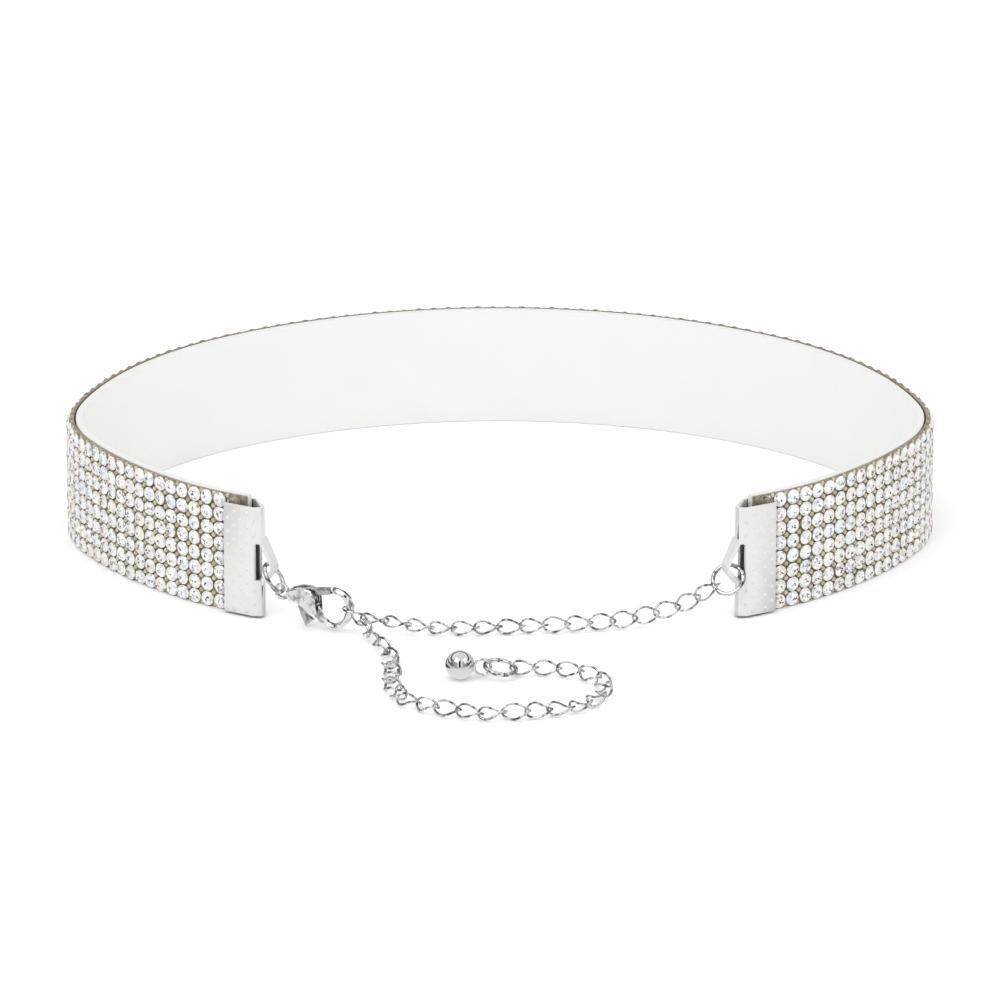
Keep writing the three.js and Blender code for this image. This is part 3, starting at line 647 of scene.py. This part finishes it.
def stones_and_mesh():
    """All the stones, their cups, the nubs between them and the sheet behind them."""
    columns = int(BAND_LENGTH // STONE_PITCH)
    shape = stone_shape()
    faces = facet_faces()
    stones, cups, nubs = Pile(), Pile(), Pile()
    for column in range(columns):
        along = (column - (columns - 1) / 2) * STONE_PITCH
        for row in range(STONE_ROWS):
            place, outward, forward = band_point(along + rng.uniform(-STONE_JITTER, STONE_JITTER))
            height = (row + 0.5) * STONE_PITCH + rng.uniform(-STONE_JITTER, STONE_JITTER)
            lean = forward * rng.gauss(0, STONE_LEAN)
            axis = (outward + lean + UP * rng.gauss(0, STONE_LEAN)).normalized()
            stone_hue_and_painted_light = TINTS[rng.randrange(len(TINTS))]
            # Stones inside the caps are painted dark: painted shade under the cap
            if abs(along) > BAND_LENGTH / 2 - CAP_GRIP:
                stone_hue_and_painted_light = CAP_PAINTED_SHADE
            add_stone(stones, cups, place + UP * height, axis, forward, faces, shape, stone_hue_and_painted_light)
        if column == columns - 1:
            continue
        place, outward, forward = band_point(along + STONE_PITCH / 2)
        for row in range(STONE_ROWS + 1):
            height = row * STONE_PITCH
            top = NUB_TOP
            if row == 0:
                height += NUB_RADIUS
                top = RIM_NUB_TOP
            if row == STONE_ROWS:
                height -= NUB_RADIUS
                top = RIM_NUB_TOP
            add_nub(nubs, place + UP * height, forward, outward, top)
    stone_object = stones.build("stones", STONES, smooth=False)
    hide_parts("stone_strip")
    cup_object = cups.build("stone_cups", MESH)
    nub_object = nubs.build("mesh_nubs", NUBS)
    section = [(SHEET_INSET, 0), (SHEET_INSET, SHEET_OUT)]
    section += [(BAND_HEIGHT - SHEET_INSET, SHEET_OUT), (BAND_HEIGHT - SHEET_INSET, 0)]
    sheet_object = sweep("mesh_sheet", section, MESH)
    for obj in (stone_object, cup_object, nub_object, sheet_object):
        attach(obj, "necklace")


def node_points(name):
    """Unique vertices of a CAD node, to a tenth of a micrometre."""
    points = {tuple(round(c, 7) for c in v.co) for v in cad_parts[name].data.vertices}
    return np.array(sorted(points))


def principal_axes(points):
    """Centre and right-handed axes of a cloud of points, longest first."""
    centre = points.mean(0)
    _, _, axes = np.linalg.svd(points - centre)
    first, second = Vector(axes[0]), Vector(axes[1])
    return Vector(centre), first, second, first.cross(second)


def chain():
    """Smooth twisted links in the poses of the frame's faceted ones."""
    names = sorted(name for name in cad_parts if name.startswith("link_"))
    pile = Pile()
    for name in names:
        centre, long_axis, wide_axis, thin_axis = principal_axes(node_points(name))
        centres = []
        for k in range(LINK_STEPS):
            angle = 2 * math.pi * k / LINK_STEPS
            across = LINK_WIDTH / 2 * math.sin(angle)
            twist = -math.radians(LINK_TWIST) * math.cos(angle)
            centres.append(
                centre
                + long_axis * (LINK_LENGTH / 2 * math.cos(angle))
                + wide_axis * (across * math.cos(twist))
                + thin_axis * (across * math.sin(twist))
            )
        pile.add(*tube(centres, LINK_WIRE / 2, LINK_SIDES, True))
    links = pile.build("chain_links", WIRE)
    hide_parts(*names)
    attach(links, "necklace")


def jump_ring(name):
    """Smooth ring with the fine cut of an opened jump ring."""
    centre, first, second, _ = principal_axes(node_points(name))
    start = rng.uniform(*RING_CUT_PLACES)
    centres = []
    for k in range(RING_STEPS + 1):
        angle = start + RING_CUT / 2 + (2 * math.pi - RING_CUT) * k / RING_STEPS
        centres.append(centre + (first * math.cos(angle) + second * math.sin(angle)) * RING_RADIUS)
    pile = Pile()
    pile.add(*tube(centres, RING_WIRE / 2, RING_SIDES, False))
    ring = pile.build(name + "_wire", WIRE)
    flat_above(ring, RING_CREASE)
    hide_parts(name)
    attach(ring, "necklace")


def ball_surface(centre, run, side, up):
    """Vertices and faces of the ball, in rings across its run and a point at each end."""
    vertices = []
    for i in range(1, BALL_RINGS):
        polar = math.pi * i / BALL_RINGS
        for k in range(BALL_SIDES):
            angle = 2 * math.pi * k / BALL_SIDES
            across = math.cos(angle) * side + math.sin(angle) * up
            vertices.append(centre + BALL_RADIUS * (math.cos(polar) * run + math.sin(polar) * across))
    vertices.append(centre + run * BALL_RADIUS)
    vertices.append(centre - run * BALL_RADIUS)
    top = len(vertices) - 2
    bottom = len(vertices) - 1
    faces = [(a, d, c, b) for a, b, c, d in ring_walls(BALL_RINGS - 1, BALL_SIDES)]
    last = (BALL_RINGS - 2) * BALL_SIDES
    for k in range(BALL_SIDES):
        m = (k + 1) % BALL_SIDES
        faces.append((top, k, m))
        faces.append((bottom, last + m, last + k))
    return vertices, faces


def drop():
    """Smooth ball with its eye."""
    points = node_points("ball_drop")
    centre = Vector((points[:, 0].min() + BALL_RADIUS, 0, BALL_RADIUS))
    centre.y = (points[:, 1].min() + points[:, 1].max()) / 2
    eye_points = points[points[:, 0] > centre.x + BALL_RADIUS + EYE_CLEARANCE]
    eye_x = points[:, 0].max() - EYE_RADIUS - EYE_WIRE / 2
    eye_y = (eye_points[:, 1].min() + eye_points[:, 1].max()) / 2
    eye_z = (eye_points[:, 2].min() + eye_points[:, 2].max()) / 2
    eye = Vector((eye_x, eye_y, eye_z))
    run = (eye - centre).normalized()
    side = run.cross(UP).normalized()
    up = side.cross(run)
    pile = Pile()
    pile.add(*ball_surface(centre, run, side, up))
    centres = []
    for k in range(EYE_STEPS):
        angle = 2 * math.pi * k / EYE_STEPS
        centres.append(eye + (run * math.cos(angle) + up * math.sin(angle)) * EYE_RADIUS)
    pile.add(*tube(centres, EYE_WIRE / 2, RING_SIDES, True))
    ball = pile.build("ball_and_eye", SILVER)
    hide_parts("ball_drop")
    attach(ball, "necklace")


def rounded_cad(name, material, width, segments):
    """Shows a CAD node with softened edges and smooth shading."""
    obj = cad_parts[name]
    obj.data.materials.clear()
    obj.data.materials.append(material)
    obj.data.polygons.foreach_set("use_smooth", [True] * len(obj.data.polygons))
    weld = obj.modifiers.new("weld", "WELD")
    weld.merge_threshold = WELD_DISTANCE
    bevel = obj.modifiers.new("bevel", "BEVEL")
    bevel.width = width
    bevel.segments = segments
    bevel.limit_method = "ANGLE"
    bevel.angle_limit = math.radians(EDGE_ANGLE)
    bevel.harden_normals = True


def add_dot(pile, base, along, out):
    """A low round bump of two rings and a peak; out is the way that it stands out."""
    points = [base + out * (DOT_HEIGHT * DOT_RADIUS)]
    for share, lift in (DOT_SHOULDER, (1.0, 0.0)):
        for x, y, _ in ring_of(DOT_SIDES, share * DOT_RADIUS, 0.0):
            points.append(base + along * x + UP * y + out * (lift * DOT_RADIUS))
    inner = 1
    outer = inner + DOT_SIDES
    faces = []
    for k in range(DOT_SIDES):
        m = (k + 1) % DOT_SIDES
        faces.append((0, inner + k, inner + m))
        faces.append((inner + k, outer + k, outer + m, inner + m))
    pile.add(points, faces)


def cap_dots(side, name):
    """Raised dots in staggered columns on both cheeks of a cap."""
    pile = Pile()
    mouth, outward, forward = band_point(side * (BAND_LENGTH / 2 - CAP_GRIP))
    along = forward * side
    for outer in (True, False):
        column = 0
        depth = DOT_FIRST_COLUMN
        while depth < (CAP_END if outer else CAP_INNER_CHEEK) - DOT_RADIUS:
            height = CAP_LOW + (DOT_MARGIN if column % 2 else DOT_MARGIN + DOT_ROW / 2)
            out = CAP_OUT if outer else CAP_IN
            if outer and depth > CAP_CHEEK:
                slope = (depth - CAP_CHEEK) / (CAP_END - CAP_CHEEK)
                out += (CAP_FOLD_OUT - CAP_OUT) * slope
            while height < CAP_HIGH - 2 * DOT_RADIUS:
                over_slot = SLOT_LOW - DOT_RADIUS < height < SLOT_HIGH + DOT_RADIUS
                if not (over_slot and depth > CAP_CHEEK - DOT_RADIUS):
                    base = mouth + along * depth + outward * out + UP * height
                    add_dot(pile, base, along, outward if outer else -outward)
                height += DOT_ROW
            depth += DOT_COLUMN
            column += 1
    dots = pile.build(name, CAP)
    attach(dots, "necklace")


lining()
stones_and_mesh()
chain()
for ring_name in ("jump_ring_left", "jump_ring_right", "jump_ring_end"):
    jump_ring(ring_name)
drop()
rounded_cad("cap_left", CAP, CAP_EDGE, CAP_EDGE_STEPS)
rounded_cad("cap_right", CAP, CAP_EDGE, CAP_EDGE_STEPS)
rounded_cad("clasp_body", CLASP, CLASP_EDGE, CLASP_EDGE_STEPS)
rounded_cad("clasp_lever", SHADED_LEVER, CLASP_EDGE, CLASP_EDGE_STEPS)
cap_dots(-1, "cap_dots_left")
cap_dots(1, "cap_dots_right")


def area_light(name, place, power):
    """A soft square light that aims at the frame's origin."""
    data = bpy.data.lights.new(name, "AREA")
    data.shape = "SQUARE"
    data.size = LIGHT_SIZE
    data.energy = power
    obj = bpy.data.objects.new(name, data)
    obj.location = place
    obj.rotation_mode = "QUATERNION"
    obj.rotation_quaternion = (-Vector(place)).to_track_quat("-Z", "Y")
    bpy.context.scene.collection.objects.link(obj)


# Floor, unseen by reflections
floor_corners = [(x * FLOOR_HALF, y * FLOOR_HALF, 0) for x, y in ((-1, -1), (1, -1), (1, 1), (-1, 1))]
floor = mesh_object("floor", floor_corners, [(0, 1, 2, 3)], FLOOR)
floor.location.z = -FLOOR_DROP
floor.visible_glossy = False


def band_ramp(tree, source, stops):
    """Bright and dark bands along a value that runs from -1 to 1."""
    value = tree.nodes.new("ShaderNodeMapRange")
    set_inputs(value, {"From Min": -1.0})
    tree.links.new(source, value.inputs["Value"])
    bands = tree.nodes.new("ShaderNodeValToRGB")
    ramp = bands.color_ramp
    while len(ramp.elements) < len(stops):
        ramp.elements.new(0.5)
    for element, (place, level) in zip(ramp.elements, stops):
        element.position = place
        element.color = grey(level)
    tree.links.new(value.outputs["Result"], bands.inputs["Fac"])
    return bands.outputs["Color"]


def step_at(tree, source, low, high):
    """A factor that goes from 0 to 1 between two values."""
    step = tree.nodes.new("ShaderNodeMapRange")
    set_inputs(step, {"From Min": low, "From Max": high})
    tree.links.new(source, step.inputs["Value"])
    return step.outputs["Result"]


def backdrop(tree, colour):
    """A background of the given colour output."""
    wall = tree.nodes.new("ShaderNodeBackground")
    tree.links.new(colour, wall.inputs["Color"])
    return wall.outputs["Background"]


def mixed(tree, factor, first, second):
    """Two shaders mixed by a factor."""
    mix = tree.nodes.new("ShaderNodeMixShader")
    tree.links.new(factor, mix.inputs["Fac"])
    tree.links.new(first, mix.inputs[1])
    tree.links.new(second, mix.inputs[2])
    return mix.outputs["Shader"]


# What reflections see, each a place from 0 to 1 and a level: the white surroundings beyond the necklace and
# the table on the camera's side by height, the grey room there, a dark post between bright panels, by width
FAR_BANDS = (
    (0.0, 0.9),
    (0.3, 0.85),
    (0.33, 0.03),
    (0.42, 0.04),
    (0.45, 0.8),
    (0.53, 0.7),
    (0.55, 0.04),
    (0.61, 0.04),
    (0.63, 0.9),
    (0.7, 0.8),
    (0.73, 0.06),
    (0.79, 0.06),
    (0.82, 0.9),
    (1.0, 0.8),
)
TABLE_BANDS = ((0.0, 0.9), (0.3, 0.85), (0.47, 0.78), (0.49, 0.85), (0.497, 0.1), (1.0, 0.1))
ROOM_BANDS = (
    (0.0, 0.12),
    (0.2, 0.42),
    (0.34, 0.45),
    (0.36, 0.95),
    (0.43, 0.95),
    (0.44, 0.01),
    (0.56, 0.01),
    (0.57, 0.95),
    (0.66, 0.95),
    (0.68, 0.42),
    (0.8, 0.4),
    (1.0, 0.12),
)

# Where one view takes over from the next: the room above the table, the surroundings overhead and beyond
ROOM_STARTS = (0.0, 0.02)
OVERHEAD_STARTS = (0.7, 0.95)
FAR_STARTS = (-0.15, 0.0)


def studio_world():
    """White surroundings; reflections also see bands and the room on the camera's side."""
    world = bpy.data.worlds.new("studio")
    bpy.context.scene.world = world
    world.use_nodes = True
    tree = world.node_tree
    plain = tree.nodes["Background"]
    set_inputs(plain, {"Color": grey(1), "Strength": WORLD_STRENGTH})
    coords = tree.nodes.new("ShaderNodeTexCoord")
    split = tree.nodes.new("ShaderNodeSeparateXYZ")
    tree.links.new(coords.outputs["Generated"], split.inputs["Vector"])
    across, depth, height = (split.outputs[axis] for axis in "XYZ")
    far = backdrop(tree, band_ramp(tree, height, FAR_BANDS))
    table = backdrop(tree, band_ramp(tree, height, TABLE_BANDS))
    room = backdrop(tree, band_ramp(tree, across, ROOM_BANDS))
    near = mixed(tree, step_at(tree, height, *ROOM_STARTS), table, room)
    near = mixed(tree, step_at(tree, height, *OVERHEAD_STARTS), near, far)
    mirror = mixed(tree, step_at(tree, depth, *FAR_STARTS), near, far)
    path = tree.nodes.new("ShaderNodeLightPath")
    seen = mixed(tree, path.outputs["Is Glossy Ray"], plain.outputs["Background"], mirror)
    tree.links.new(seen, tree.nodes["World Output"].inputs["Surface"])


studio_world()
area_light("key", KEY_PLACE, KEY_POWER)
area_light("fill", FILL_PLACE, FILL_POWER)

# Camera
camera_data = bpy.data.cameras.new("camera")
camera_data.sensor_width = SENSOR_WIDTH
camera_data.lens = LENS
camera_data.clip_start = NEAREST
camera_data.clip_end = FARTHEST
camera = bpy.data.objects.new("camera", camera_data)
back = Vector((0, -math.cos(ELEVATION), math.sin(ELEVATION)))
camera.location = AIM + back * CAMERA_DISTANCE
camera.rotation_mode = "QUATERNION"
camera.rotation_quaternion = (-back).to_track_quat("-Z", "Y")
bpy.context.scene.collection.objects.link(camera)
bpy.context.scene.camera = camera
bpy.context.scene.view_settings.view_transform = "Standard"
